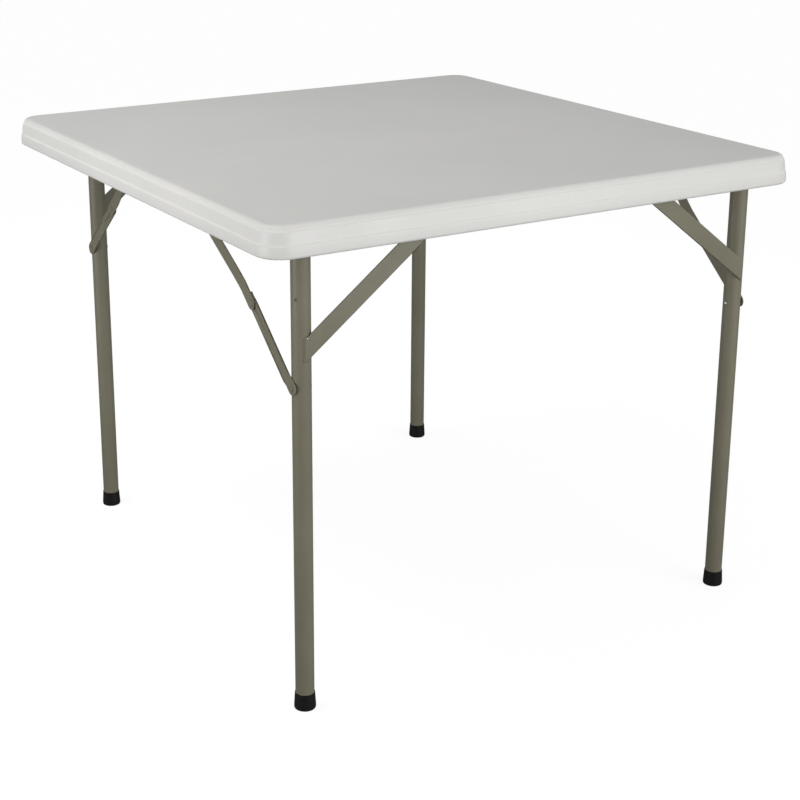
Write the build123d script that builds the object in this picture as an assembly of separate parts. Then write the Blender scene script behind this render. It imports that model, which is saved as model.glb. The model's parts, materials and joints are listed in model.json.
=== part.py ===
from build123d import *
import os
from math import atan2, cos, hypot, radians, sin

# Folding card table. The origin is on the floor under the middle of the top, +Z is up,
# the front leg frame is at -Y and the back leg frame at +Y.

# Overrun of every cut past the solid that it goes through
overrun = 1.0

# Blow-moulded top
top_width = 940.0
top_height = 740.0
corner_radius = 40.0
rim_depth = 45.0
rim_band = 28.0
panel_thickness = 14.0
shoulder_width = 9.0
upper_ledge_drop = 7.5
lower_ledge_drop = 26.0
ledge_step = 1.5
ledge_fall = 1.2
upper_lean = 2.0
lower_lean = 1.0
edge_round = 6.0
recess_round = 5.0
recess_draft = 4.0

# Tack-off pockets, where the lower skin of the top is pushed up against the upper skin
pocket_length = 46.0
pocket_width = 20.0
pocket_skin = 3.5
pocket_draft_degrees = 18.0
pocket_pitch_x = 76.0
pocket_pitch_y = 66.0
pocket_columns = 9
pocket_rows = 12

# Round steel tube of the legs and crossbars
tube_diameter = 28.0
tube_wall = 1.2
cope_drop = 3.0
fold_clearance = 3.0
hinge_inset = 49.0
nest_step = 54.0
hanging_hole_radius = 2.5
hanging_hole_drop = 83.0
hanging_hole_degrees = -33.0

# Flat diagonal strips between each leg and the crossbar
strip_width = 27.0
strip_sheet = 2.5
strip_slope_degrees = 37.6
strip_drop = 153.5
strip_overlap = 2.5
strip_top_rise = 8.0

# Foot caps
cap_height = 26.0
cap_floor = 6.0
cap_mouth_wall = 0.75
cap_foot_wall = 2.2
cap_foot_height = 6.0
cap_chamfer_width = 3.0
cap_chamfer_height = 3.5
cap_clearance = 0.05

# Folding braces, a channel-section lower link and a joggled upper link
brace_drop = 211.0
brace_reach = 243.0
link_width = 20.5
link_sheet = 2.0
channel_depth = 3.4
channel_end_gap = 15.0
stop_lead = 48.0
stop_reach = 14.0
stop_height = 7.0
upper_link_width = 20.0
upper_link_sheet = 2.0
joggle = 12.5
joggle_start = 30.0
link_gap = 0.3

# Rivets and studs of the braces
rivet_radius = 3.0
rivet_head_radius = 5.0
rivet_head_height = 1.2
rivet_tail_radius = 4.0
rivet_tail_height = 2.0
stud_radius = 3.5
stud_head_radius = 5.5
stud_head_height = 1.6
stud_tail_height = 1.5
running_clearance = 0.05
head_play = 0.15

# Bevel of every rivet and screw head, as shares of its height and radius
head_rim_share = 0.4
head_crown_share = 0.65

# Side rails
rail_width = 12.7
rail_gap = 0.5
rail_sheet = 2.0
rail_height = 28.0
rail_lip = 8.0
rail_bend = 1.5
rail_end_margin = 16.0
ear_radius = 11.0
ear_top_round = 4.0
screws_per_rail = 5
rail_screw_inset = 55.0

# Pivots of the leg frames in the rails
pin_radius = 6.0
pin_tail = 5.0
plug_depth = 20.0
plug_collar = 1.5
bush_radius = 8.0
bush_flange_radius = 10.0
bush_flange = 1.0
bush_stand = 0.6
side_play = 0.3
clip_radius = 10.0
clip_sheet = 1.0

# Brackets of the back braces
bracket_sheet = 2.0
bracket_front = 46.0
bracket_radius = 13.0
bracket_flange_width = 18.0
bracket_flange_length = 32.0
bracket_screw_pitch = 16.0

# Screws into the underside of the top
screw_radius = 2.1
screw_head_radius = 4.0
screw_head_height = 2.4
screw_depth = 8.0

# Places that follow from the sizes above
half_top = top_width / 2
tube_radius = tube_diameter / 2
underside = top_height - panel_thickness
rim_bottom = top_height - rim_depth
plate_half = half_top - corner_radius
recess_half = half_top - rim_band
rail_inner = recess_half - rail_gap - rail_width
rail_outer = rail_inner + rail_sheet
rail_bottom = underside - rail_height
hinge_y = -(half_top - hinge_inset)
hinge_z = underside - tube_radius - fold_clearance
rail_half = -hinge_y - rail_end_margin
rail_screw_pitch = 2 * (rail_half - rail_screw_inset) / (screws_per_rail - 1)

# Distances of the brace layers outwards from the leg's axis
lower_layer = tube_radius + link_gap
stud_layer = lower_layer + channel_depth
upper_layer = stud_layer + link_gap
joggled_layer = upper_layer + joggle
carrier_layer = joggled_layer + upper_link_sheet + link_gap
leg_x = rail_inner - carrier_layer

# The brace is straight when the table stands and folds back on itself when the leg lies flat
brace_angle = atan2(brace_drop, brace_reach)
brace_length = hypot(brace_drop, brace_reach)
fold_offset = brace_reach - brace_drop
lower_length = (brace_length - fold_offset) / 2
upper_length = (brace_length + fold_offset) / 2
brace_pivot_z = hinge_z - brace_drop
brace_top_y = hinge_y + brace_reach
bracket_inner = leg_x - nest_step + carrier_layer
bracket_top_y = -brace_top_y
bracket_flange_y = bracket_top_y - bracket_front + bracket_flange_length / 2
bracket_screw_x = bracket_inner - bracket_flange_width / 2
brace_plane = Plane(
    origin=(leg_x, hinge_y, brace_pivot_z),
    x_dir=(0, cos(brace_angle), sin(brace_angle)),
    z_dir=(1, 0, 0),
)


def outline(*points):
    """A flat face inside straight edges."""
    return make_face(Polyline(*points, close=True))


def block(low, high):
    """A box between two opposite corners."""
    size = [b - a for a, b in zip(low, high)]
    centre = [(a + b) / 2 for a, b in zip(low, high)]
    return Pos(*centre) * Box(*size)


def spin(profile):
    """Turn a profile of radius and height about the Z axis."""
    return revolve(Plane.XZ * profile, Axis.Z)


def rod(radius, start, end):
    """A round rod along Z between two heights."""
    return Pos(0, 0, (start + end) / 2) * Cylinder(radius, end - start)


def head(radius, height):
    """A low bevelled head that stands on the XY plane."""
    rim_height = height * head_rim_share
    crown_radius = radius * head_crown_share
    return spin(outline((0, 0), (radius, 0), (radius, rim_height), (crown_radius, height), (0, height)))


def along_x(shape, x, y, z):
    """Stand a shape that was made along Z at a point, pointing along +X."""
    return Plane(origin=(x, y, z), x_dir=(0, 1, 0), z_dir=(1, 0, 0)) * shape


def placed(shape, frame, side, step=nest_step):
    """Copy a front right shape to another corner; back copies move inwards by a step."""
    if frame == "back":
        shape = mirror(Pos(-step, 0, 0) * shape, about=Plane.XZ)
    if side == "left":
        shape = mirror(shape, about=Plane.YZ)
    return shape


def save(shape, name):
    export_step(shape, "parts/" + name + ".step")


def save_group(shapes, name):
    export_step(Compound(children=shapes), "parts/" + name + ".step")


# Section of the rim at the right edge of the top
def rim_section():
    lower_ledge_x = half_top - lower_lean
    band_foot_x = lower_ledge_x - ledge_step
    band_head_x = band_foot_x - upper_lean
    shoulder_x = band_head_x - ledge_step
    upper_ledge_z = top_height - upper_ledge_drop
    lower_ledge_z = top_height - lower_ledge_drop
    mouth_half = recess_half + recess_draft
    shoulder_top = (shoulder_x - shoulder_width, top_height)
    shoulder_foot = (shoulder_x, upper_ledge_z)
    edge_top = (half_top, rim_bottom + edge_round)
    edge_foot = (half_top - edge_round, rim_bottom)
    mouth_foot = (mouth_half + recess_round, rim_bottom)
    mouth_top = (mouth_half, rim_bottom + recess_round)
    return make_face(
        [
            Line((plate_half, top_height), shoulder_top),
            TangentArc(shoulder_top, shoulder_foot, tangent=(1, 0)),
            Polyline(
                shoulder_foot,
                (band_head_x, upper_ledge_z - ledge_fall),
                (band_foot_x, lower_ledge_z),
                (lower_ledge_x, lower_ledge_z - ledge_fall),
                edge_top,
            ),
            TangentArc(edge_top, edge_foot, tangent=(0, -1)),
            Line(edge_foot, mouth_foot),
            TangentArc(mouth_foot, mouth_top, tangent=(-1, 0)),
            Polyline(
                mouth_top,
                (recess_half, underside),
                (plate_half, underside),
                (plate_half, top_height),
            ),
        ]
    )


def screw_places():
    """Axes of the screws in the underside, first those of the rails, then of the brackets."""
    rail_screw_x = rail_outer + (rail_width - rail_sheet) / 2
    places = []
    for sign in (-1, 1):
        for loc in GridLocations(0, rail_screw_pitch, 1, screws_per_rail):
            places.append((sign * rail_screw_x, loc.position.Y, rail_sheet))
    for sign in (-1, 1):
        for step in (-1, 1):
            screw_y = bracket_flange_y + step * bracket_screw_pitch / 2
            places.append((sign * bracket_screw_x, screw_y, bracket_sheet))
    return places


def tabletop():
    side = extrude(Plane.XZ.offset(plate_half) * rim_section(), -2 * plate_half)
    corner_axis = Axis((plate_half, plate_half, 0), (0, 0, 1))
    corner_start = Plane.XZ.offset(-plate_half) * rim_section()
    corner = revolve(corner_start, corner_axis, revolution_arc=90)
    plate = block((-plate_half, -plate_half, underside), (plate_half, plate_half, top_height))
    quarters = [Rot(0, 0, 90 * turn) * piece for turn in range(4) for piece in (side, corner)]
    top = plate + quarters
    depth = panel_thickness - pocket_skin
    pocket = extrude(Rectangle(pocket_length, pocket_width), depth, taper=pocket_draft_degrees)
    mouths = []
    for row in range(pocket_rows):
        columns = pocket_columns - row % 2
        row_y = (row - (pocket_rows - 1) / 2) * pocket_pitch_y
        for column in range(columns):
            column_x = (column - (columns - 1) / 2) * pocket_pitch_x
            mouths.append(Pos(column_x, row_y, underside) * pocket)
    pilot = rod(screw_radius + running_clearance, -overrun, screw_depth)
    pilots = [Pos(x, y, underside) * pilot for x, y, sheet in screw_places()]
    return top - (mouths + pilots)


# Side rail: a channel that opens towards the rim, with an ear past each end for a leg frame's pivot
def side_rail():
    section = outline(
        (rail_inner, rail_bottom),
        (rail_inner, underside),
        (rail_inner + rail_width, underside),
        (rail_inner + rail_width, underside - rail_sheet),
        (rail_outer, underside - rail_sheet),
        (rail_outer, rail_bottom + rail_sheet),
        (rail_inner + rail_lip, rail_bottom + rail_sheet),
        (rail_inner + rail_lip, rail_bottom),
    )
    columns = section.vertices().group_by(Axis.X)
    section = fillet(columns[1], rail_bend)
    section = fillet(section.vertices().group_by(Axis.X)[0], rail_bend + rail_sheet)
    rail = extrude(Plane.XZ.offset(rail_half) * section, -2 * rail_half)
    ear_end = -hinge_y + ear_radius
    ear_low = hinge_z - ear_radius
    web = outline(
        (-ear_end, ear_low),
        (ear_end, ear_low),
        (ear_end, underside - rail_sheet),
        (-ear_end, underside - rail_sheet),
    )
    levels = web.vertices().group_by(Axis.Y)
    web = fillet(levels[-1], ear_top_round)
    web = fillet(web.vertices().group_by(Axis.Y)[0], ear_radius - overrun)
    web_plane = Plane(origin=(rail_inner, 0, 0), x_dir=(0, 1, 0), z_dir=(1, 0, 0))
    rail += extrude(web_plane * web, rail_sheet)
    bush_hole = rod(bush_radius + running_clearance, -overrun, rail_sheet + overrun)
    rivet_hole = rod(stud_radius + running_clearance, -overrun, rail_sheet + overrun)
    rail -= [along_x(bush_hole, rail_inner, y, hinge_z) for y in (hinge_y, -hinge_y)]
    rail -= along_x(rivet_hole, rail_inner, brace_top_y, hinge_z)
    screw_hole = rod(screw_radius + 2 * running_clearance, -rail_sheet - overrun, overrun)
    rail -= [Pos(x, y, underside) * screw_hole for x, y, sheet in screw_places() if x > rail_inner]
    return rail


# Bracket that carries the upper end of a back brace
def brace_bracket():
    front = bracket_top_y - bracket_front
    back = bracket_top_y + bracket_radius
    low = hinge_z - bracket_radius
    face = outline(
        (front, underside),
        (back, underside),
        (back, low),
        (bracket_top_y - bracket_radius, low),
        (front, underside - bracket_flange_width),
    )
    face = fillet(face.vertices().group_by(Axis.Y)[0], bracket_radius / 2)
    plate_plane = Plane(origin=(bracket_inner, 0, 0), x_dir=(0, 1, 0), z_dir=(1, 0, 0))
    bracket = extrude(plate_plane * face, bracket_sheet)
    bracket += block(
        (bracket_inner - bracket_flange_width, front, underside - bracket_sheet),
        (bracket_inner + bracket_sheet, front + bracket_flange_length, underside),
    )
    rivet_hole = rod(stud_radius + running_clearance, -overrun, bracket_sheet + overrun)
    bracket -= along_x(rivet_hole, bracket_inner, bracket_top_y, hinge_z)
    screw_hole = rod(screw_radius + 2 * running_clearance, -bracket_sheet - overrun, overrun)
    for step in (-1, 1):
        screw_y = bracket_flange_y + step * bracket_screw_pitch / 2
        bracket -= Pos(bracket_screw_x, screw_y, underside) * screw_hole
    return bracket


def screw(sheet):
    """A pan-head screw whose head bears on a sheet of the given thickness."""
    pan = Rot(180, 0, 0) * head(screw_head_radius, screw_head_height)
    return Pos(0, 0, -sheet) * pan + rod(screw_radius, -sheet, screw_depth)


def crossbar():
    tube_end = rail_inner - bush_flange - side_play - plug_collar
    tube = rod(tube_radius, -tube_end, tube_end)
    tube -= rod(tube_radius - tube_wall, -tube_end - overrun, tube_end + overrun)
    return along_x(tube, 0, hinge_y, hinge_z)


# Pivot pin: a plug in the end of the crossbar, a collar and the pin that goes through the rail
def pivot_pin():
    collar_face = rail_inner - bush_flange - side_play
    tube_end = collar_face - plug_collar
    pin_end = rail_outer + bush_stand + side_play + clip_sheet + pin_tail
    pin = rod(tube_radius - tube_wall - running_clearance, tube_end - plug_depth, tube_end)
    pin += rod(tube_radius, tube_end, collar_face)
    pin += rod(pin_radius, collar_face, pin_end)
    return along_x(pin, 0, hinge_y, hinge_z)


def rail_bush():
    bush = rod(bush_flange_radius, rail_inner - bush_flange, rail_inner)
    bush += rod(bush_radius, rail_inner, rail_outer + bush_stand)
    bush -= rod(pin_radius + running_clearance, rail_inner - overrun - bush_flange, rail_outer + overrun)
    return along_x(bush, 0, hinge_y, hinge_z)


def pin_clip():
    start = rail_outer + bush_stand + side_play
    clip = rod(clip_radius, start, start + clip_sheet) - rod(pin_radius, start - overrun, start + pin_tail)
    return along_x(clip, 0, hinge_y, hinge_z)


def leg():
    tube = rod(tube_radius, cap_floor, hinge_z - cope_drop)
    tube -= rod(tube_radius - tube_wall, cap_floor - overrun, hinge_z)
    tube = Pos(leg_x, hinge_y, 0) * tube
    tube -= along_x(rod(tube_radius, -tube_diameter, tube_diameter), leg_x, hinge_y, hinge_z)
    rivet_hole = rod(rivet_radius + running_clearance, -tube_diameter, tube_diameter)
    tube -= along_x(rivet_hole, leg_x, hinge_y, brace_pivot_z)
    turn = radians(hanging_hole_degrees)
    hole_plane = Plane(
        origin=(leg_x, hinge_y, hinge_z - hanging_hole_drop), z_dir=(cos(turn), sin(turn), 0)
    )
    tube -= hole_plane * rod(hanging_hole_radius, 0, tube_diameter)
    return tube


# Diagonal strip on the outer face of the leg and crossbar
def strip():
    slope = radians(strip_slope_degrees)
    rise = sin(slope) / cos(slope)
    half_height = strip_width / 2 / cos(slope)
    outer_x = leg_x + strip_overlap
    leg_z = hinge_z - strip_drop
    top_z = hinge_z + strip_top_rise

    def edge_x(z, side):
        return leg_x - (z - leg_z - side * half_height) / rise

    def edge_z(x, side):
        return leg_z + side * half_height + (leg_x - x) * rise

    face = outline(
        (outer_x, edge_z(outer_x, -1)),
        (outer_x, edge_z(outer_x, 1)),
        (edge_x(top_z, 1), top_z),
        (edge_x(top_z, -1), top_z),
    )
    return extrude(Plane.XZ.offset(-(hinge_y - tube_radius)) * face, strip_sheet)


def foot_cap():
    mouth_radius = tube_radius + cap_mouth_wall
    foot_radius = tube_radius + cap_foot_wall
    bore_radius = tube_radius + cap_clearance
    profile = outline(
        (0, 0),
        (foot_radius - cap_chamfer_width, 0),
        (foot_radius, cap_chamfer_height),
        (foot_radius, cap_foot_height),
        (mouth_radius, cap_height),
        (bore_radius, cap_height),
        (bore_radius, cap_floor),
        (0, cap_floor),
    )
    return Pos(leg_x, hinge_y, 0) * spin(profile)


# Lower link: a shallow channel whose upper flange runs on past the knee as a stop
def lower_link():
    half = link_width / 2
    tab_end = lower_length + stop_reach
    plate = Pos(lower_length / 2, 0) * SlotCenterToCenter(lower_length, link_width)
    plate += outline(
        (lower_length, 0),
        (lower_length + half, 0),
        (tab_end, half - stop_height),
        (tab_end, half),
        (lower_length, half),
    )
    link = extrude(Pos(0, 0, lower_layer) * plate, link_sheet)
    link += block(
        (channel_end_gap, half - link_sheet, lower_layer),
        (tab_end, half, stud_layer),
    )
    link += block(
        (channel_end_gap, -half, lower_layer),
        (lower_length - stop_lead, link_sheet - half, stud_layer),
    )
    link -= rod(rivet_radius + running_clearance, lower_layer - overrun, stud_layer)
    link -= Pos(lower_length, 0) * rod(stud_radius + running_clearance, lower_layer - overrun, stud_layer)
    return brace_plane * link


# Upper link: a flat strip that steps outwards from the knee to its carrier
def upper_link():
    knee = lower_length
    top = brace_length
    half = upper_link_width / 2
    ribbon = outline(
        (knee - half, upper_layer),
        (knee + joggle_start, upper_layer),
        (top - joggle_start, joggled_layer),
        (top + half, joggled_layer),
        (top + half, joggled_layer + upper_link_sheet),
        (top - joggle_start, joggled_layer + upper_link_sheet),
        (knee + joggle_start, upper_layer + upper_link_sheet),
        (knee - half, upper_layer + upper_link_sheet),
    )
    link = extrude(Plane.XZ * ribbon, half, both=True)
    shape = Pos((knee + top) / 2, 0, 0) * SlotCenterToCenter(upper_length, upper_link_width)
    link &= extrude(shape, carrier_layer)
    hole = rod(stud_radius + running_clearance, 0, carrier_layer)
    link -= [Pos(knee, 0, 0) * hole, Pos(top, 0, 0) * hole]
    return brace_plane * link


def leg_rivet():
    head_face = lower_layer + link_sheet + head_play
    rivet = rod(rivet_radius, -tube_radius, head_face)
    rivet += Pos(0, 0, head_face) * head(rivet_head_radius, rivet_head_height)
    rivet += Pos(0, 0, -tube_radius) * Rot(180, 0, 0) * head(rivet_tail_radius, rivet_tail_height)
    return brace_plane * rivet


# The knee is the open pivot: each link keeps its own half of the rivet
def lower_knee_stud():
    stud = rod(stud_radius, lower_layer, stud_layer)
    stud += rod(stud_head_radius, lower_layer + link_sheet, stud_layer)
    return brace_plane * Pos(lower_length, 0, 0) * stud


def upper_knee_stud():
    outer_face = upper_layer + upper_link_sheet
    stud = rod(stud_radius, upper_layer, outer_face)
    stud += Pos(0, 0, outer_face) * head(stud_head_radius, stud_head_height)
    return brace_plane * Pos(lower_length, 0, 0) * stud


def top_rivet(carrier_sheet):
    """Rivet of a brace's upper end, through its link and the sheet that carries it."""
    head_face = joggled_layer - head_play
    tail_face = carrier_layer + carrier_sheet
    rivet = rod(stud_radius, head_face, tail_face)
    rivet += Pos(0, 0, head_face) * Rot(180, 0, 0) * head(stud_head_radius, stud_head_height)
    rivet += rod(stud_head_radius, tail_face, tail_face + stud_tail_height)
    return brace_plane * Pos(brace_length, 0, 0) * rivet


os.makedirs("parts", exist_ok=True)

# Pieces that stay with the top
save(tabletop(), "tabletop")
right_rail = side_rail()
save(right_rail, "side_rail_right")
save(mirror(right_rail, about=Plane.YZ), "side_rail_left")
right_bracket = brace_bracket()
save(right_bracket, "brace_bracket_right")
save(mirror(right_bracket, about=Plane.YZ), "brace_bracket_left")
screws = [Pos(x, y, underside) * screw(sheet) for x, y, sheet in screw_places()]
save_group(screws[: 2 * screws_per_rail], "rail_screws")
save_group(screws[2 * screws_per_rail :], "bracket_screws")
corners = [(frame, side) for frame in ("front", "back") for side in ("left", "right")]
save_group([placed(rail_bush(), frame, side, step=0) for frame, side in corners], "rail_bushes")

# Leg frames and braces, made once for the front right corner
for frame in ("front", "back"):
    save(placed(crossbar(), frame, "right", step=0), frame + "_crossbar")
    pins = [placed(pivot_pin(), frame, side, step=0) for side in ("left", "right")]
    save_group(pins, frame + "_pivot_pins")
    clips = [placed(pin_clip(), frame, side, step=0) for side in ("left", "right")]
    save_group(clips, frame + "_pin_clips")
    carrier_sheet = rail_sheet if frame == "front" else bracket_sheet
    top_rivets = [placed(top_rivet(carrier_sheet), frame, side) for side in ("left", "right")]
    save_group(top_rivets, frame + "_brace_top_rivets")
    for side in ("left", "right"):
        name = frame + "_" + side + "_"
        save(placed(leg(), frame, side), name + "leg")
        save(placed(strip(), frame, side), name + "strip")
        save(placed(foot_cap(), frame, side), name + "foot_cap")
        save(placed(leg_rivet(), frame, side), name + "leg_rivet")
        save(placed(lower_link(), frame, side), name + "lower_link")
        save(placed(lower_knee_stud(), frame, side), name + "lower_knee_stud")
        save(placed(upper_link(), frame, side), name + "upper_link")
        save(placed(upper_knee_stud(), frame, side), name + "upper_knee_stud")
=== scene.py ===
import json
from math import atan2, copysign, cos, hypot, pi, radians, sin, sqrt, tan

import bmesh
import bpy
from mathutils import Matrix, Vector


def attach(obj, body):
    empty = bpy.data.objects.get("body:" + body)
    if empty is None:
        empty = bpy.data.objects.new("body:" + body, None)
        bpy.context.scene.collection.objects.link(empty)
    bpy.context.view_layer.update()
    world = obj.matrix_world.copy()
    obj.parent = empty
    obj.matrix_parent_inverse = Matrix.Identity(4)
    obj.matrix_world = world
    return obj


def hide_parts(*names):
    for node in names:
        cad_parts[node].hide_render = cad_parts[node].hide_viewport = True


# Folding card table, in metres. The CAD nodes give the places. The pieces below give the top its soft
# moulded rim and pockets, and the steel its rounded edges, folds, welds and rivet heads.

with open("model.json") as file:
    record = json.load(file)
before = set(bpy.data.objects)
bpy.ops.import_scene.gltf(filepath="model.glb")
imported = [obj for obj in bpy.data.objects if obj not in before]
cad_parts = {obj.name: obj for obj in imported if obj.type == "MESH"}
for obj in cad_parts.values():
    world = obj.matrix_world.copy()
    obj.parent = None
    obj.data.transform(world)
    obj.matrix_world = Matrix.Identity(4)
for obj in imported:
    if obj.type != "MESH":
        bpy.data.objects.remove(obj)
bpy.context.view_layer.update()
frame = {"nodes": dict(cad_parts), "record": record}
nodes = frame["nodes"]
scene = bpy.context.scene
scene.view_settings.view_transform = "Standard"
MM = 0.001

# Sizes of the top, the same as in the part's source
TOP_Z = 740 * MM
HALF_TOP = 470 * MM
CORNER_CENTRE = HALF_TOP - 40 * MM
RIM_INNER = 446 * MM
RIM_BOTTOM = 695 * MM
UNDERSIDE = 726 * MM
POCKET_ROWS, POCKET_COLUMNS = 12, 9
POCKET_PITCH_X, POCKET_PITCH_Y = 76 * MM, 66 * MM
POCKET_HALF_X, POCKET_HALF_Y = 23 * MM, 10 * MM

# Sizes of the legs and strips, the same as in the part's source
HINGE_Y = -421 * MM
HINGE_Z = 709 * MM
TUBE_RADIUS = 14 * MM
LEG_X = 396 * MM
NEST_STEP = 54 * MM
HOLE_DROP = 83 * MM
HOLE_TURN = radians(-33)
STRIP_WIDTH = 27 * MM
STRIP_SHEET = 2.5 * MM
STRIP_OVERLAP = 2.5 * MM
STRIP_SLOPE = radians(37.6)
STRIP_DROP = 153.5 * MM
STRIP_TOP_RISE = 8 * MM

# Sizes of the braces, the same as in the part's source; layers are distances out from the leg's axis
BRACE_DROP = 211 * MM
BRACE_REACH = 243 * MM
BRACE_LENGTH = hypot(BRACE_DROP, BRACE_REACH)
FOLD_OFFSET = BRACE_REACH - BRACE_DROP
LOWER_LENGTH = (BRACE_LENGTH - FOLD_OFFSET) / 2
STOP_REACH = 14 * MM
LINK_SHEET = 2 * MM
LOWER_HALF_WIDTH = 10.25 * MM
UPPER_HALF_WIDTH = 10 * MM
CHANNEL_DEPTH = 3.4 * MM
JOGGLE_START = 30 * MM
LOWER_LAYER = 14.3 * MM
UPPER_LAYER = 18.0 * MM
JOGGLED_LAYER = 30.5 * MM
CARRIER_LAYER = 32.8 * MM
CARRIER_SHEET = 2 * MM
RIVET_RADIUS = 3 * MM
RIVET_HEAD_RADIUS, RIVET_HEAD_HEIGHT = 5 * MM, 1.2 * MM
STUD_RADIUS = 3.5 * MM
STUD_HEAD_RADIUS, STUD_HEAD_HEIGHT, STUD_TAIL_HEIGHT = 5.5 * MM, 1.6 * MM, 1.5 * MM
HEAD_PLAY = 0.15 * MM


# Nodes of a material, made and linked in one call
class Shade:
    def __init__(self, name):
        self.material = bpy.data.materials.new(name)
        self.material.use_nodes = True
        self.tree = self.material.node_tree
        self.bsdf = self.tree.nodes["Principled BSDF"]
        self.place = self.node("ShaderNodeTexCoord").outputs["Object"]

    def put(self, value, socket):
        """Link another node's output to a socket, or set the socket to a value."""
        if isinstance(value, bpy.types.NodeSocket):
            self.tree.links.new(value, socket)
        else:
            socket.default_value = value

    def node(self, kind, inputs=None, **settings):
        made = self.tree.nodes.new(kind)
        for key, value in settings.items():
            setattr(made, key, value)
        for key, value in (inputs or {}).items():
            self.put(value, made.inputs[key])
        return made

    def height(self):
        """Height above the floor at rest."""
        return self.node("ShaderNodeSeparateXYZ", {"Vector": self.place}).outputs["Z"]

    def noise(self, scale, detail, rough, stretch=None):
        place = self.place
        if stretch:
            place = self.node("ShaderNodeMapping", {"Vector": place, "Scale": stretch}).outputs[0]
        inputs = {"Vector": place, "Scale": scale, "Detail": detail, "Roughness": rough}
        return self.node("ShaderNodeTexNoise", inputs).outputs["Fac"]

    def spread(self, source, low, high, to_low=0.0, to_high=1.0):
        """Map a range of a pattern to another range, clamped."""
        inputs = {"Value": source, "From Min": low, "From Max": high, "To Min": to_low, "To Max": to_high}
        return self.node("ShaderNodeMapRange", inputs).outputs["Result"]

    def math(self, operation, a, b):
        return self.node("ShaderNodeMath", {0: a, 1: b}, operation=operation).outputs[0]

    def mix(self, factor, a, b):
        """Mix two colours; 6 and 7 are the places of the node's colour sockets."""
        return self.node("ShaderNodeMix", {0: factor, 6: a, 7: b}, data_type="RGBA").outputs[2]

    def bump(self, height, distance, strength, under=None):
        inputs = {"Height": height, "Distance": distance, "Strength": strength}
        if under:
            inputs["Normal"] = under
        return self.node("ShaderNodeBump", inputs).outputs["Normal"]

    def finish(self, **sockets):
        """Link or set the shader's sockets."""
        for key, value in sockets.items():
            self.put(value, self.bsdf.inputs[key.replace("_", " ")])
        return self.material


def srgb(red, green, blue):
    """A linear colour from the eight-bit numbers of a screen colour."""
    parts = [c / 255 for c in (red, green, blue)]
    return tuple(c / 12.92 if c <= 0.04045 else ((c + 0.055) / 1.055) ** 2.4 for c in parts) + (1,)


# Pale grey polyethylene with a fine moulded grain, soft waves, faint scuffs and painted highlight lines
# along the rim's ledges
def plastic_of_top():
    shade = Shade("table_top_plastic")
    clouds = shade.spread(shade.noise(3.2, 3, 0.55), 0.35, 0.65)
    fleck = shade.spread(shade.noise(420, 2, 0.6), 0.42, 0.62)
    tone = shade.mix(clouds, srgb(216, 216, 213), srgb(221, 220, 217))
    tone = shade.mix(shade.math("MULTIPLY", fleck, 0.18), tone, srgb(206, 206, 202))
    height = shade.height()
    # Painted highlight: the colour turns paler in thin bands at the heights of the rim's two ledges
    for ledge_z, reach in ((TOP_Z - 6.6 * MM, 2.2 * MM), (TOP_Z - 25.8 * MM, 1.7 * MM)):
        away = shade.math("ABSOLUTE", shade.math("SUBTRACT", height, ledge_z), 0.0)
        painted_ledge_highlight = shade.spread(away, 0.3 * MM, reach, 0.3, 0.0)
        tone = shade.mix(painted_ledge_highlight, tone, srgb(232, 231, 229))
    scuff_along = shade.spread(shade.noise(9, 5, 0.72, (1.0, 26.0, 1.0)), 0.66, 0.74)
    scuff_across = shade.spread(shade.noise(7, 5, 0.72, (22.0, 1.3, 1.0)), 0.67, 0.75)
    scuffs = shade.math("MAXIMUM", scuff_along, scuff_across)
    haze = shade.spread(shade.noise(14, 4, 0.6), 0.3, 0.7, 0.40, 0.50)
    rough = shade.math("ADD", haze, shade.math("MULTIPLY", scuffs, 0.07))
    waves = shade.bump(shade.noise(8.5, 1, 0.4), 1.1 * MM, 0.35)
    grain = shade.bump(shade.noise(950, 2, 0.55), 0.06 * MM, 0.45, waves)
    scratch = shade.bump(scuffs, 0.02 * MM, 0.5, grain)
    return shade.finish(Base_Color=tone, Roughness=rough, Normal=scratch, IOR=1.5, Specular_IOR_Level=0.45)


# Olive grey powder coat with orange peel, pale flecks and a few rubs
def paint_of_legs():
    shade = Shade("leg_powder_coat")
    clouds = shade.spread(shade.noise(9, 3, 0.6), 0.3, 0.7)
    tone = shade.mix(clouds, srgb(116, 113, 96), srgb(124, 121, 103))
    fleck = shade.spread(shade.noise(1300, 2, 0.5), 0.55, 0.75)
    tone = shade.mix(shade.math("MULTIPLY", fleck, 0.22), tone, srgb(134, 132, 114))
    rub = shade.spread(shade.noise(60, 6, 0.7, (1.0, 1.0, 0.35)), 0.69, 0.76)
    tone = shade.mix(shade.math("MULTIPLY", rub, 0.35), tone, srgb(92, 90, 76))
    rough = shade.spread(shade.noise(32, 4, 0.6), 0.3, 0.7, 0.42, 0.54)
    rough = shade.math("ADD", rough, shade.math("MULTIPLY", rub, 0.10))
    peel = shade.bump(shade.noise(520, 1, 0.4), 0.12 * MM, 0.55)
    grit = shade.bump(shade.noise(2300, 2, 0.6), 0.03 * MM, 0.4, peel)
    return shade.finish(Base_Color=tone, Roughness=rough, Normal=grit, IOR=1.5, Specular_IOR_Level=0.35)


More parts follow.
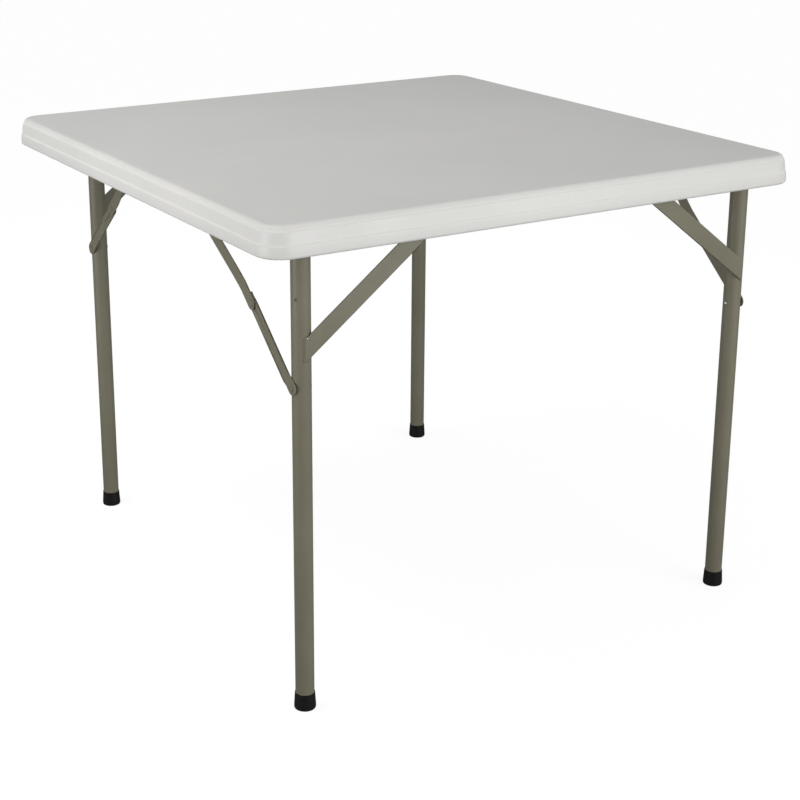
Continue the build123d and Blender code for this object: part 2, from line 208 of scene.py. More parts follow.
# Zinc-plated steel, drawn and slightly clouded
def zinc_steel():
    shade = Shade("zinc_plated_steel")
    clouds = shade.spread(shade.noise(55, 4, 0.6), 0.3, 0.7)
    tone = shade.mix(clouds, srgb(196, 197, 196), srgb(172, 174, 176))
    tarnish = shade.spread(shade.noise(150, 5, 0.65), 0.6, 0.72)
    tone = shade.mix(shade.math("MULTIPLY", tarnish, 0.5), tone, srgb(150, 145, 132))
    rough = shade.spread(shade.noise(260, 4, 0.65), 0.3, 0.7, 0.26, 0.42)
    drawn = shade.bump(shade.noise(130, 3, 0.6, (0.08, 9.0, 9.0)), 0.05 * MM, 0.5)
    grit = shade.bump(shade.noise(1800, 2, 0.5), 0.02 * MM, 0.4, drawn)
    return shade.finish(Base_Color=tone, Roughness=rough, Normal=grit, Metallic=1.0)


# Black rubber of the foot caps, dusty at the sole
def rubber_of_feet():
    shade = Shade("foot_cap_rubber")
    clouds = shade.spread(shade.noise(70, 3, 0.6), 0.3, 0.7)
    tone = shade.mix(clouds, srgb(17, 17, 17), srgb(23, 23, 22))
    low = shade.spread(shade.height(), 0.0, 4.5 * MM, 1.0, 0.0)
    dust = shade.math("MULTIPLY", low, shade.spread(shade.noise(380, 4, 0.7), 0.42, 0.68))
    tone = shade.mix(shade.math("MULTIPLY", dust, 0.45), tone, srgb(70, 68, 64))
    rough = shade.spread(shade.noise(240, 3, 0.6), 0.3, 0.7, 0.46, 0.62)
    rough = shade.math("ADD", rough, shade.math("MULTIPLY", dust, 0.25))
    grain = shade.bump(shade.noise(1500, 2, 0.6), 0.06 * MM, 0.5)
    return shade.finish(Base_Color=tone, Roughness=rough, Normal=grain, IOR=1.5, Specular_IOR_Level=0.2)


# Black nylon of the bushes, with fine turning lines
def nylon_of_bushes():
    shade = Shade("bush_nylon")
    clouds = shade.spread(shade.noise(120, 3, 0.6), 0.3, 0.7)
    tone = shade.mix(clouds, srgb(38, 38, 40), srgb(48, 48, 49))
    rough = shade.spread(shade.noise(300, 3, 0.6), 0.3, 0.7, 0.38, 0.52)
    lines = shade.bump(shade.noise(200, 2, 0.5, (14.0, 0.4, 0.4)), 0.03 * MM, 0.5)
    return shade.finish(Base_Color=tone, Roughness=rough, Normal=lines, IOR=1.52, Specular_IOR_Level=0.45)


# The CAD nodes take the finished materials
materials = {
    "top_plastic": plastic_of_top(),
    "leg_paint": paint_of_legs(),
    "zinc_steel": zinc_steel(),
    "black_plastic": rubber_of_feet(),
    "black_nylon": nylon_of_bushes(),
}
node_slot = {}
for node_name, node in nodes.items():
    for held in node.material_slots:
        node_slot[node_name] = held.material.name.split(".")[0]
        held.material = materials[node_slot[node_name]]
body_of_node = {n: body for body, group in frame["record"]["behaviour"]["bodies"].items() for n in group}


# Shared shapes
def piece(name, bm, replaced, like=None, sharp=34):
    """Turn a mesh into a piece that rides with a CAD node and takes its finish.

    The piece stands for the replaced node, or only follows the one it is like. Edges that turn by more
    than the sharp angle stay crisp.
    """
    node_name = like or replaced
    bmesh.ops.remove_doubles(bm, verts=bm.verts, dist=1e-7)
    bmesh.ops.recalc_face_normals(bm, faces=bm.faces)
    for face in bm.faces:
        face.smooth = True
    for edge in bm.edges:
        edge.smooth = edge.calc_face_angle(0.0) < radians(sharp)
    mesh = bpy.data.meshes.new(name)
    bm.to_mesh(mesh)
    bm.free()
    made = bpy.data.objects.new(name, mesh)
    scene.collection.objects.link(made)
    slot_name = node_slot[node_name]
    mesh.materials.append(materials[slot_name])
    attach(made, body_of_node[node_name])
    if replaced:
        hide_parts(replaced)


def millimetres(rows):
    """Rows of millimetres as rows of metres."""
    return [tuple(value * MM for value in row) for row in rows]


def loft(bm, loops, around=False, caps=True):
    """Join equal loops of points with quads."""
    rings = [[bm.verts.new(p) for p in loop] for loop in loops]
    following = rings[1:] + (rings[:1] if around else [])
    for one, two in zip(rings, following):
        for i in range(len(one)):
            j = (i + 1) % len(one)
            bm.faces.new((one[i], one[j], two[j], two[i]))
    if caps and not around:
        bm.faces.new(list(reversed(rings[0])))
        bm.faces.new(rings[-1])
    return rings


def rounded_corner(before, here, after, cut, most, steps):
    """Points of a rounded corner.

    The cut is the length that is taken off each side, and most is the largest share of a side.
    """
    ends = []
    for other in (before, after):
        dx, dy = other[0] - here[0], other[1] - here[1]
        share = min(most, cut / max(hypot(dx, dy), 1e-9))
        ends.append((here[0] + dx * share, here[1] + dy * share))
    out = []
    for step in range(steps + 1):
        t = step / steps
        weights = ((1 - t) ** 2, 2 * t * (1 - t), t * t)
        out.append(tuple(sum(w * p[k] for w, p in zip(weights, (ends[0], here, ends[1]))) for k in (0, 1)))
    return out


def soften(points, closed=False, steps=4):
    """Round the corners of a line of (x, y, cut) points."""
    out = []
    count = len(points)
    for i, (x, y, cut) in enumerate(points):
        before, after = points[i - 1], points[(i + 1) % count]
        if not cut or (not closed and i in (0, count - 1)):
            out.append((x, y))
        else:
            out += rounded_corner(before, (x, y), after, cut, most=0.5, steps=steps)
    return out


def arc(centre_x, centre_y, radius, start, end, steps):
    """Points along an arc between two angles in degrees."""
    angles = [radians(start + (end - start) * i / steps) for i in range(steps + 1)]
    return [(centre_x + radius * cos(a), centre_y + radius * sin(a)) for a in angles]


def lathe(bm, profile, matrix, segments, around=False):
    """Turn a profile of (radius, height) about the Z axis of a matrix."""
    turns = [2 * pi * i / segments for i in range(segments)]
    loops = [[matrix @ Vector((r * cos(a), r * sin(a), h)) for a in turns] for r, h in profile]
    loft(bm, loops, around)


def cornered(frame_name, side):
    """The move that takes a front right piece to another corner."""
    move = Matrix.Identity(4)
    if frame_name == "back":
        move = Matrix.Diagonal((1, -1, 1, 1)) @ Matrix.Translation((-NEST_STEP, 0, 0))
    if side == "left":
        move = Matrix.Diagonal((-1, 1, 1, 1)) @ move
    return move


CORNERS = {f + "_" + s: cornered(f, s) for f in ("front", "back") for s in ("left", "right")}


# Tabletop: the rim's section swept round the corners, the flat top, and the underside with its pockets
def rim_section():
    """Section of the rim as (distance from the middle, height), from the top round to the underside."""
    shoulder_radius, edge_radius, mouth_radius = 9.15 * MM, 4 * MM, 5 * MM
    shoulder = arc(HALF_TOP - 15 * MM, TOP_Z - shoulder_radius, shoulder_radius, 90, 12, 9)
    band = soften(
        [
            (*shoulder[-1], 0),
            (HALF_TOP - 6.0 * MM, TOP_Z - 7.3 * MM, 1.0 * MM),
            (HALF_TOP - 4.5 * MM, TOP_Z - 8.8 * MM, 2.6 * MM),
            (HALF_TOP - 2.5 * MM, TOP_Z - 25.9 * MM, 1.6 * MM),
            (HALF_TOP - 1.0 * MM, TOP_Z - 27.3 * MM, 2.6 * MM),
            (HALF_TOP, RIM_BOTTOM + edge_radius, 0),
        ]
    )
    edge = arc(HALF_TOP - edge_radius, RIM_BOTTOM + edge_radius, edge_radius, 0, -90, 7)
    mouth = arc(RIM_INNER + mouth_radius, RIM_BOTTOM + mouth_radius, mouth_radius, -90, -180, 5)
    wall = soften(
        [
            (RIM_INNER, RIM_BOTTOM + mouth_radius, 0),
            (RIM_INNER - 4 * MM, UNDERSIDE, 3.5 * MM),
            (RIM_INNER - 10 * MM, UNDERSIDE, 0),
        ]
    )
    return shoulder + band[1:] + edge[1:] + mouth + wall[1:]


def rim_ring(x, z, steps=18):
    """A point of the section, swept round the four corners."""
    reach = x - CORNER_CENTRE
    ring = []
    for quarter in range(4):
        turn = Matrix.Rotation(quarter * pi / 2, 3, "Z")
        for i in range(steps + 1):
            a = radians(90 * i / steps)
            ring.append(turn @ Vector((CORNER_CENTRE + reach * cos(a), CORNER_CENTRE + reach * sin(a), z)))
    return ring


POINTS_PER_SIDE = 8


def four_sides(half_x, half_y, corner=None):
    """Points round a rectangle from its lower left corner, evenly spaced or with rounded corners."""
    out = []
    for quarter in range(4):
        along, across = (half_x, half_y) if quarter % 2 == 0 else (half_y, half_x)
        turn = quarter * pi / 2
        for i in range(POINTS_PER_SIDE):
            t = 2 * i / POINTS_PER_SIDE - 1
            if corner is None:
                u, v = t * along, -across
            elif abs(t) <= 0.5:
                u, v = 2 * t * (along - corner), -across
            else:
                bend = pi / 4 * (2 * abs(t) - 1)
                u = copysign(along - corner + corner * sin(bend), t)
                v = -across + corner * (1 - cos(bend))
            out.append((u * cos(turn) - v * sin(turn), u * sin(turn) + v * cos(turn)))
    return out


def pocket_cell(bm, centre_x, centre_y):
    """One cell of the underside, with its pocket's rounded mouth, sloped walls and floor."""
    levels = [(four_sides(POCKET_PITCH_X / 2, POCKET_PITCH_Y / 2), 0.0)]
    mouth = [(2.6, 9.0, 0.0), (1.1, 8.0, 0.35), (0.1, 7.2, 1.4), (-0.6, 6.6, 3.4)]
    floor = [(-2.4, 5.2, 8.4), (-3.2, 4.6, 9.8), (-4.6, 3.6, 10.4), (-6.4, 2.0, 10.5)]
    for grow, corner, rise in millimetres(mouth + floor):
        levels.append((four_sides(POCKET_HALF_X + grow, POCKET_HALF_Y + grow, corner), rise))
    loops = [[Vector((centre_x + u, centre_y + v, UNDERSIDE + h)) for u, v in ring] for ring, h in levels]
    rings = loft(bm, loops, caps=False)
    bm.faces.new(rings[-1])


def row_end(bm, centre_y, end):
    """The plain half cell at one end of a short row, with its points where the neighbours have theirs."""
    painted_ledge_highlight = end * (POCKET_COLUMNS - 1) / 2 * POCKET_PITCH_X
    far = end * POCKET_COLUMNS / 2 * POCKET_PITCH_X
    low, high = centre_y - POCKET_PITCH_Y / 2, centre_y + POCKET_PITCH_Y / 2
    half = POINTS_PER_SIDE // 2
    ups = [low + (high - low) * i / POINTS_PER_SIDE for i in range(POINTS_PER_SIDE + 1)]
    overs = [painted_ledge_highlight + (far - painted_ledge_highlight) * i / half for i in range(half + 1)]
    outline = [(painted_ledge_highlight, y) for y in ups] + [(x, high) for x in overs[1:]]
    outline += [(far, y) for y in reversed(ups[:-1])] + [(x, low) for x in reversed(overs[1:-1])]
    bm.faces.new([bm.verts.new((x, y, UNDERSIDE)) for x, y in outline])


def table_top():
    bm = bmesh.new()
    rings = loft(bm, [rim_ring(x, z) for x, z in rim_section()], caps=False)
    bm.faces.new(rings[0])
    for row in range(POCKET_ROWS):
        centre_y = (row - (POCKET_ROWS - 1) / 2) * POCKET_PITCH_Y
        cells = POCKET_COLUMNS - row % 2
        for column in range(cells):
            pocket_cell(bm, (column - (cells - 1) / 2) * POCKET_PITCH_X, centre_y)
        if cells < POCKET_COLUMNS:
            for end in (-1, 1):
                row_end(bm, centre_y, end)
    bmesh.ops.remove_doubles(bm, verts=bm.verts, dist=1e-6)
    open_edges = [e for e in bm.edges if len(e.link_faces) == 1]
    bmesh.ops.triangle_fill(bm, use_beauty=True, use_dissolve=False, edges=open_edges)
    piece("moulded_top", bm, "tabletop", sharp=50)


table_top()


# Foot caps: a rounded sole, a slight flare and a rolled mouth
def foot_caps():
    sole = [(0.4, 0.0, 0), (11.2, 0.0, 0), (16.2, 0.0, 4.2)]
    flare = [(16.1, 6.5, 1.5), (15.0, 24.0, 1.0)]
    mouth = [(14.9, 26.0, 0.5), (14.06, 26.0, 0.3), (14.06, 21.0, 0)]
    profile = soften(millimetres(sole + flare + mouth), steps=5)
    for corner, move in CORNERS.items():
        bm = bmesh.new()
        lathe(bm, profile, move @ Matrix.Translation((LEG_X, HINGE_Y, 0)), 56)
        piece(corner + "_foot_boot", bm, corner + "_foot_cap", sharp=60)


foot_caps()


# Diagonal strips: sheared flat bar with soft edges, flat on the legs' outer faces
LEG_FACE_Y = HINGE_Y - TUBE_RADIUS
STRIP_OUTER_X = LEG_X + STRIP_OVERLAP
STRIP_LEG_Z = HINGE_Z - STRIP_DROP
STRIP_TOP_Z = HINGE_Z + STRIP_TOP_RISE
STRIP_HALF_HEIGHT = STRIP_WIDTH / 2 / cos(STRIP_SLOPE)


def strip_edge_z(x, side):
    """Height of a strip's lower (-1) or upper (1) edge at x."""
    return STRIP_LEG_Z + side * STRIP_HALF_HEIGHT + (LEG_X - x) * tan(STRIP_SLOPE)


def strip_far_x(side):
    """Where a strip's lower (-1) or upper (1) edge meets its level top."""
    return LEG_X - (STRIP_TOP_Z - STRIP_LEG_Z - side * STRIP_HALF_HEIGHT) / tan(STRIP_SLOPE)


def upright(x, y, z):
    """The move that stands a flat shape up at a place, facing the front."""
    return Matrix(((1, 0, 0, x), (0, 0, -1, y), (0, 1, 0, z), (0, 0, 0, 1)))


def slab(bm, outline, thick, matrix, edge=0.8 * MM, steps=4):
    """A flat plate with rounded edges from an outline of (x, y) points that runs anticlockwise."""
    count = len(outline)
    sharpest = 0.35

    def shrunk(amount):
        ring = []
        for i, (x, y) in enumerate(outline):
            ax, ay = outline[i - 1]
            bx, by = outline[(i + 1) % count]
            one, two = Vector((x - ax, y - ay)), Vector((bx - x, by - y))
            one.normalize()
            two.normalize()
            inward = Vector((-one.y, one.x))
            mean = inward + Vector((-two.y, two.x))
            mean /= max(sharpest, mean.dot(inward))
            ring.append((x + mean.x * amount, y + mean.y * amount))
        return ring

    angles = [pi / 2 * i / steps for i in range(steps + 1)]
    levels = [(edge * (1 - sin(a)), edge * (1 - cos(a))) for a in angles]
    levels += [(inset, thick - z) for inset, z in reversed(levels)]
    loops = [[matrix @ Vector((x, y, z)) for x, y in shrunk(inset)] for inset, z in levels]
    loft(bm, loops)


def strips():
    cut = 1.2 * MM
    corners = [
        (STRIP_OUTER_X, strip_edge_z(STRIP_OUTER_X, -1), cut),
        (STRIP_OUTER_X, strip_edge_z(STRIP_OUTER_X, 1), cut),
        (strip_far_x(1), STRIP_TOP_Z, cut),
        (strip_far_x(-1), STRIP_TOP_Z, cut),
    ]
    outline = soften(corners, closed=True, steps=3)
    for corner, move in CORNERS.items():
        bm = bmesh.new()
        slab(bm, outline, STRIP_SHEET, move @ upright(0, LEG_FACE_Y, 0))
        piece(corner + "_sheared_strip", bm, corner + "_strip")


strips()


# Weld beads: rippled, half sunk, painted over
def bead(bm, points, radius, closed=False, sides=10, ripple=0.10):
    """A round bead that follows a line of points, with ripples along it and rounded ends."""
    count = len(points)
    turns = [2 * pi * j / sides for j in range(sides)]
    lean = Vector((0.3, 0.2, 1))
    ripple_turn, taper_points = 2.1, 3
    loops = []
    for i, point in enumerate(points):
        before = points[i - 1] if i or closed else points[0]
        after = points[(i + 1) % count] if i < count - 1 or closed else points[-1]
        along = (after - before).normalized()
        side = along.cross(lean.cross(along)).normalized()
        up = along.cross(side).normalized()
        from_end = min(i, count - 1 - i) / taper_points
        taper = 1 if closed or from_end >= 1 else sqrt(0.15 + 0.85 * from_end)
        swell = radius * (1 + ripple * sin(i * ripple_turn)) * taper
        loops.append([point + side * (cos(a) * swell) + up * (sin(a) * swell) for a in turns])
    loft(bm, loops, around=closed)


def between(start, end, step=1.2 * MM):
    """Evenly spaced points from one place to another."""
    steps = max(2, round((end - start).length / step))
    return [start.lerp(end, i / steps) for i in range(steps + 1)]


def strip_end_line():
    """Line of the weld round a strip's end, which turns in along both edges and sinks away there."""
    inward = Vector((-cos(STRIP_SLOPE), 0, sin(STRIP_SLOPE)))
    low = Vector((STRIP_OUTER_X, LEG_FACE_Y, strip_edge_z(STRIP_OUTER_X, -1)))
    high = low + Vector((0, 0, 2 * STRIP_HALF_HEIGHT))
    turn_in = 1.5 * MM
    low_end = low + inward * 9 * MM + Vector((0, 1.6 * MM, -0.4 * MM))
    high_end = high + inward * 10 * MM + Vector((0, 1.8 * MM, 0.4 * MM))
    line = between(low_end, low + inward * turn_in)
    line += between(low, high)[1:-1]
    return line + between(high + inward * turn_in, high_end)


def crossbar_ridge():
    """Line of the weld along a strip's level top."""
    inset, sunk, lift = 2 * MM, 1.3 * MM, 0.3 * MM
    start = Vector((strip_far_x(-1) + inset, LEG_FACE_Y + sunk, STRIP_TOP_Z + lift))
    return between(start, Vector((strip_far_x(1) - inset, LEG_FACE_Y + sunk, STRIP_TOP_Z + lift)))


def cope_ring(steps=72, least_drop=3 * MM, sunk=0.3 * MM):
    """Line of the weld where the leg's coped end meets the crossbar."""
    ring = []
    for i in range(steps):
        a = 2 * pi * i / steps
        drop = max(least_drop, TUBE_RADIUS * abs(cos(a)))
        x, y = LEG_X + TUBE_RADIUS * cos(a), HINGE_Y + TUBE_RADIUS * sin(a)
        ring.append(Vector((x, y, HINGE_Z - drop - sunk)))
    return ring


def weld_beads():
    for corner, move in CORNERS.items():
        bm = bmesh.new()
        bead(bm, [move @ p for p in strip_end_line()], 1.35 * MM)
        bead(bm, [move @ p for p in crossbar_ridge()], 1.5 * MM)
        bead(bm, [move @ p for p in cope_ring()], 1.5 * MM, closed=True)
        piece(corner + "_weld_beads", bm, None, like=corner + "_leg")


weld_beads()


# Painted cup with a pinhole in the hanging hole of each leg
def hole_cups():
    out = Vector((cos(HOLE_TURN), sin(HOLE_TURN), 0))
    across = Vector((-out.y, out.x, 0))
    axes = Matrix((across, (0, 0, 1), out)).transposed().to_4x4()
    place = Matrix.Translation((LEG_X, HINGE_Y, HINGE_Z - HOLE_DROP)) @ axes
    floor = [(0.4, 11.9), (0.9, 11.95), (1.4, 12.2), (1.8, 12.5), (2.1, 12.87), (2.32, 13.28), (2.4, 13.56)]
    back = [(2.52, 13.7), (2.7, 13.3), (2.6, 12.6), (1.9, 11.9), (0.9, 11.4), (0.4, 11.4)]
    for corner, move in CORNERS.items():
        bm = bmesh.new()
        lathe(bm, millimetres(floor + back), move @ place, 28, around=True)
        piece(corner + "_hole_rim", bm, None, like=corner + "_leg")


hole_cups()


# Folding links, in the axes of a brace: along it, across it, and outwards from the leg
brace_angle = atan2(BRACE_DROP, BRACE_REACH)
brace_axes = Matrix(
    (
        (0, 0, 1, LEG_X),
        (cos(brace_angle), -sin(brace_angle), 0, HINGE_Y),
        (sin(brace_angle), cos(brace_angle), 0, HINGE_Z - BRACE_DROP),
        (0, 0, 0, 1),
    )
)


def ramp(u, start, length):
    """A smooth rise from 0 to 1 over a length."""
    t = min(1.0, max(0.0, (u - start) / length))
    return t * t * (3 - 2 * t)


def link_section(low, high, depth_low=LINK_SHEET, depth_high=LINK_SHEET, lift=0.0):
    """Section of a link as (across, outwards) points, with the depths of its two flanges.

    The floor is pressed out by the lift, with a groove along its middle. Every section has the same
    number of points, and those with a cut of None are not rounded.
    """
    middle = (low + high) / 2
    room = (high - low) / 2
    bend = min(2.2 * MM, room * 0.9)
    edge = 0.4 * MM
    wall = min(LINK_SHEET, room * 0.45)
    floor = LINK_SHEET + lift
    groove = min(2.0 * MM, room * 0.3)
    points = [(middle, 0, None)]
    for sign, side, depth in ((1, high, depth_high), (-1, low, depth_low)):
        inner = side - sign * wall
        folded = depth > LINK_SHEET + 0.1 * MM
        run = [
            (side, 0, bend if folded else edge),
            (side, depth, edge),
            (inner, depth, edge if folded else 0),
            (inner, floor, 0.6 * MM if folded else 0),
            (middle + sign * groove, floor, edge if lift else 0),
        ]
        points += run[::sign]
        if sign > 0:
            points.append((middle, LINK_SHEET - 0.9 * lift, None))
    out = []
    for i, (x, y, cut) in enumerate(points):
        before, after = points[i - 1], points[(i + 1) % len(points)]
        if cut is None:
            out.append((x, y))
        else:
            out += rounded_corner(before, (x, y), after, cut, most=0.49, steps=3)
    return out


def stations(start, end, radius, steps=40):
    """Places along a link, close together near its rounded ends."""
    ends = [radius * (1 - cos(radians(a))) for a in (4, 12, 22, 34, 46, 58, 70, 80, 90)]
    middle = [start + radius + (end - start - 2 * radius) * i / steps for i in range(1, steps)]
    return [start + e for e in ends] + middle + [end - e for e in reversed(ends)]


def round_end(half, past):
    """Half width of a link's round end at a distance past its rivet."""
    return sqrt(max(half**2 - past**2, (0.5 * MM) ** 2))


def link_pieces(loops, name, replaced):
    """The same link at the four corners, lofted from loops of points in the axes of a brace."""
    for corner, move in CORNERS.items():
        place = move @ brace_axes
        bm = bmesh.new()
        loft(bm, [[place @ p for p in loop] for loop in loops])
        piece(corner + name, bm, corner + replaced)


def lower_width(u):
    """The two sides of a lower link: a round end, a slight taper at the knee, and the narrowing stop."""
    half, past_knee = LOWER_HALF_WIDTH, u - LOWER_LENGTH
    if u < 0:
        return -round_end(half, u), round_end(half, u)
    low = -half
    high = half - 1.6 * MM * ramp(past_knee, start=-6 * MM, length=14 * MM)
    if past_knee > 0:
        low = -sqrt(max(half**2 - past_knee**2, 0))
    if past_knee >= half:
        low = (past_knee - half) / (STOP_REACH - half) * 3.25 * MM
    rounding = 1 * MM
    past_rounding = past_knee - STOP_REACH + rounding
    if past_rounding > 0:
        high -= rounding * (1 - sqrt(max(0, 1 - (past_rounding / rounding) ** 2)))
    return low, high


def lower_links():
    knee = LOWER_LENGTH
    spots = stations(-LOWER_HALF_WIDTH, knee + LOWER_HALF_WIDTH, LOWER_HALF_WIDTH)
    spots = [u for u in spots if u < knee + 9.5 * MM]
    spots += [knee + d * MM for d in (9.8, 10.1, 10.8, 11.6, 12.4, 13.0, 13.4, 13.8, 14.0)]
    fold = CHANNEL_DEPTH - LINK_SHEET
    loops = []
    for u in spots:
        fold_high = ramp(u, start=11 * MM, length=8 * MM)
        fold_low = fold_high * (1 - ramp(u, start=knee - 3 * MM, length=6 * MM))
        lift = 1.3 * MM * ramp(u, start=knee - 58 * MM, length=12 * MM)
        depths = LINK_SHEET + fold * fold_low, LINK_SHEET + fold * fold_high
        section = link_section(*lower_width(u), *depths, lift)
        loops.append([Vector((u, v, LOWER_LAYER + w)) for v, w in section])
    link_pieces(loops, "_channel_link", "_lower_link")


def upper_links():
    half, knee, top = UPPER_HALF_WIDTH, LOWER_LENGTH, BRACE_LENGTH
    joggle_length = top - knee - 2 * JOGGLE_START
    loops = []
    for u in stations(knee - half, top + half, half):
        past = max(knee - u, u - top, 0)
        width = round_end(half, past)
        straight = min(1.0, max(0.0, (u - knee - JOGGLE_START) / joggle_length))
        eased = 0.75 * straight + 0.25 * ramp(u, knee + JOGGLE_START, joggle_length)
        base = UPPER_LAYER + (JOGGLED_LAYER - UPPER_LAYER) * eased
        loops.append([Vector((u, v, base + w)) for v, w in link_section(-width, width)])
    link_pieces(loops, "_joggled_link", "_upper_link")


lower_links()
upper_links()


# Rivets and studs, turned about an axis that points outwards from the leg
AXIS_FLAT = 0.4 * MM


def crown(radius, height, base, steps=7):
    """Profile of a domed head from its middle out to its edge."""
    rim = 0.28
    angles = [radians(4 + 80 * i / steps) for i in range(steps)]
    dome = [(radius * sin(a), base + height * (rim + (1 - rim) * cos(a))) for a in angles]
    return dome + [(radius, base + height * rim), (radius, base)]


def flipped(profile):
    """The same profile pointing towards the leg."""
    return [(r, -h) for r, h in profile]


def on_brace(corner, distance):
    """The axes of a rivet at a distance along a brace."""
    return CORNERS[corner] @ brace_axes @ Matrix.Translation((distance, 0, 0))


def leg_rivets():
    face = LOWER_LAYER + LINK_SHEET + HEAD_PLAY
    tail = flipped(crown(3.2 * MM, 1.3 * MM, TUBE_RADIUS))[::-1]
    shank = [(AXIS_FLAT, face), (RIVET_RADIUS, face), (RIVET_RADIUS, -TUBE_RADIUS)]
    head = crown(RIVET_HEAD_RADIUS, RIVET_HEAD_HEIGHT, face) + [(AXIS_FLAT, face)]
    for corner in CORNERS:
        bm = bmesh.new()
        lathe(bm, shank + tail, on_brace(corner, 0), 32)
        piece(corner + "_leg_rivet_tail", bm, corner + "_leg_rivet")
        bm = bmesh.new()
        lathe(bm, head, on_brace(corner, 0), 32)
        piece(corner + "_painted_rivet_head", bm, None, like=corner + "_leg")


# Bare drop of weld on the strip's upper corner at the front left leg
def weld_drop():
    x = LEG_X - 0.5 * MM
    place = upright(x, LEG_FACE_Y - 2.4 * MM, strip_edge_z(x, 1) - 1.6 * MM)
    bm = bmesh.new()
    lathe(bm, crown(1.5 * MM, 1.0 * MM, 0) + [(0.3 * MM, 0)], CORNERS["front_left"] @ place, 20)
    piece("front_left_weld_drop", bm, None, like="front_left_leg_rivet")


def knee_studs():
    face = UPPER_LAYER + LINK_SHEET
    shank = [(STUD_RADIUS, face), (STUD_RADIUS, UPPER_LAYER), (AXIS_FLAT, UPPER_LAYER)]
    head = crown(STUD_HEAD_RADIUS, STUD_HEAD_HEIGHT, face)
    for corner in CORNERS:
        bm = bmesh.new()
        lathe(bm, head + shank, on_brace(corner, LOWER_LENGTH), 32)
        piece(corner + "_domed_knee_stud", bm, corner + "_upper_knee_stud")


def top_rivets():
    face = JOGGLED_LAYER - HEAD_PLAY
    tail_face = CARRIER_LAYER + CARRIER_SHEET
    tail_end = tail_face + STUD_TAIL_HEIGHT
    head = flipped(crown(STUD_HEAD_RADIUS, STUD_HEAD_HEIGHT, -face))
    shank = [(STUD_RADIUS, face), (STUD_RADIUS, tail_face), (STUD_HEAD_RADIUS, tail_face)]
    tail = [(STUD_HEAD_RADIUS, tail_end - 0.4 * MM), (STUD_HEAD_RADIUS - 0.5 * MM, tail_end)]
    profile = head + shank + tail + [(AXIS_FLAT, tail_end)]
    for frame_name in ("front", "back"):
        bm = bmesh.new()
        for side in ("left", "right"):
            lathe(bm, profile, on_brace(frame_name + "_" + side, BRACE_LENGTH), 32)
        piece(frame_name + "_domed_top_rivets", bm, frame_name + "_brace_top_rivets")


leg_rivets()
weld_drop()
knee_studs()
top_rivets()


# Camera at the photograph's viewing angle; the focal length and the centre are in pixels of its frame
def photo_camera():
    frame_width, focal, centre_x, centre_y = 800.0, 1702.0, 376.0, 330.0
    turn, pitch, roll = radians(31.56), radians(17.60), radians(0.17)
    place = (-1.467, -2.360, 1.282)
    forward = Vector((sin(turn) * cos(pitch), cos(turn) * cos(pitch), -sin(pitch)))
    right = Vector((cos(turn), -sin(turn), 0))
    up = right.cross(forward)
    rolled_right = cos(roll) * right + sin(roll) * up
    rolled_up = -sin(roll) * right + cos(roll) * up
    axes = Matrix((rolled_right, rolled_up, -forward)).transposed().to_4x4()
    data = bpy.data.cameras.new("camera")
    data.sensor_width = 36
    data.lens = focal / frame_width * data.sensor_width
    data.shift_x = (frame_width / 2 - centre_x) / frame_width
    data.shift_y = (centre_y - frame_width / 2) / frame_width
    data.clip_end = 100
    camera = bpy.data.objects.new("camera", data)
    camera.matrix_world = Matrix.Translation(place) @ axes
    scene.collection.objects.link(camera)
    scene.camera = camera


photo_camera()


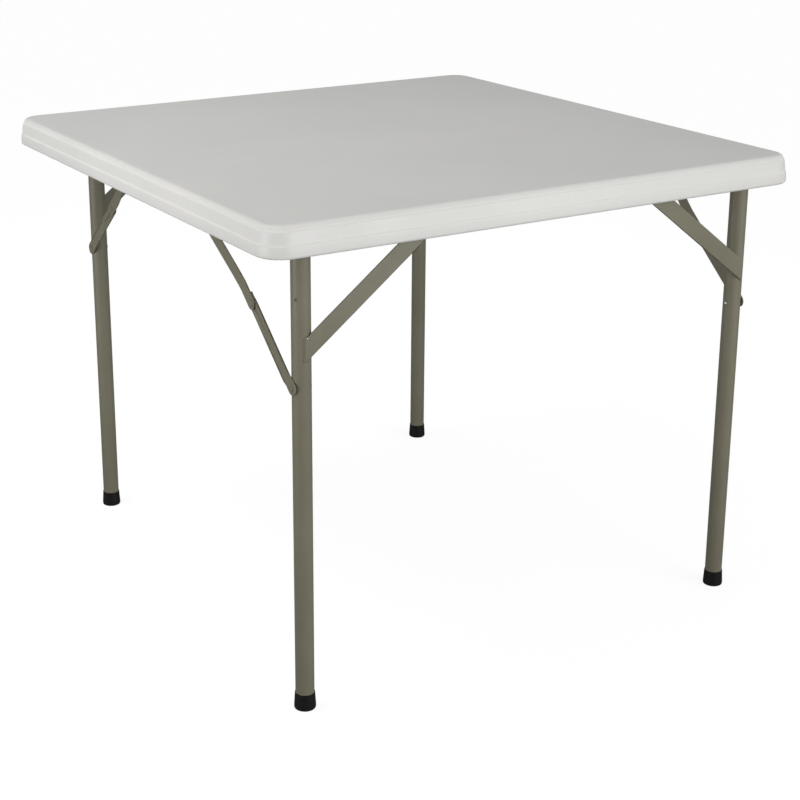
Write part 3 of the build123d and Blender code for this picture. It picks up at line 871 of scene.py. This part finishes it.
# Pale floor: camera rays see it white with a faint shadow, and all other rays see plain grey
def floor_white():
    material = bpy.data.materials.new("floor_white")
    material.use_nodes = True
    tree = material.node_tree
    tree.nodes.clear()
    path = tree.nodes.new("ShaderNodeLightPath")
    plain = tree.nodes.new("ShaderNodeBsdfDiffuse")
    plain.inputs["Color"].default_value = (0.32, 0.32, 0.32, 1)
    weak = tree.nodes.new("ShaderNodeBsdfDiffuse")
    weak.inputs["Color"].default_value = (0.24, 0.24, 0.24, 1)
    glow = tree.nodes.new("ShaderNodeEmission")
    glow.inputs["Strength"].default_value = 0.87
    both = tree.nodes.new("ShaderNodeAddShader")
    choice = tree.nodes.new("ShaderNodeMixShader")
    out = tree.nodes.new("ShaderNodeOutputMaterial")
    tree.links.new(weak.outputs[0], both.inputs[0])
    tree.links.new(glow.outputs[0], both.inputs[1])
    tree.links.new(path.outputs["Is Camera Ray"], choice.inputs[0])
    tree.links.new(plain.outputs[0], choice.inputs[1])
    tree.links.new(both.outputs[0], choice.inputs[2])
    tree.links.new(choice.outputs[0], out.inputs[0])
    return material


def pale_floor(half_size=16):
    mesh = bpy.data.meshes.new("floor")
    bm = bmesh.new()
    bmesh.ops.create_grid(bm, x_segments=1, y_segments=1, size=half_size)
    bm.to_mesh(mesh)
    bm.free()
    mesh.materials.append(floor_white())
    floor = bpy.data.objects.new("floor", mesh)
    scene.collection.objects.link(floor)


# White surround: full strength for the camera and a soft level of light for the object
def white_world(light_level=0.48):
    scene.world = bpy.data.worlds.new("surround")
    scene.world.use_nodes = True
    tree = scene.world.node_tree
    background = tree.nodes["Background"]
    background.inputs["Color"].default_value = (1, 1, 1, 1)
    path = tree.nodes.new("ShaderNodeLightPath")
    level = tree.nodes.new("ShaderNodeMapRange")
    level.inputs["To Min"].default_value = light_level
    level.inputs["To Max"].default_value = 1.0
    tree.links.new(path.outputs["Is Camera Ray"], level.inputs["Value"])
    tree.links.new(level.outputs["Result"], background.inputs["Strength"])


# Soft lamps: power in watts, spread in degrees
def lamp(name, place, aim, size, power, spread):
    data = bpy.data.lights.new(name, "AREA")
    data.shape = "RECTANGLE"
    data.size, data.size_y = size
    data.energy = power
    data.spread = radians(spread)
    made = bpy.data.objects.new(name, data)
    made.location = place
    made.rotation_mode = "QUATERNION"
    made.rotation_quaternion = (Vector(aim) - Vector(place)).to_track_quat("-Z", "Y")
    made.visible_camera = False
    scene.collection.objects.link(made)


pale_floor()
white_world()
lamp("left_softbox", (-2.7, 0.1, 0.45), aim=(-0.47, 0, 0.82), size=(1.8, 0.8), power=4.75, spread=60)
lamp("front_softbox", (0.9, -3.05, 0.95), aim=(-0.15, -0.4, 0.78), size=(2.6, 1.7), power=12.3, spread=70)
lamp("upper_softbox", (-1.15, 0.3, 2.55), aim=(-0.5, 0.1, 0.74), size=(1.2, 1.2), power=6.6, spread=120)
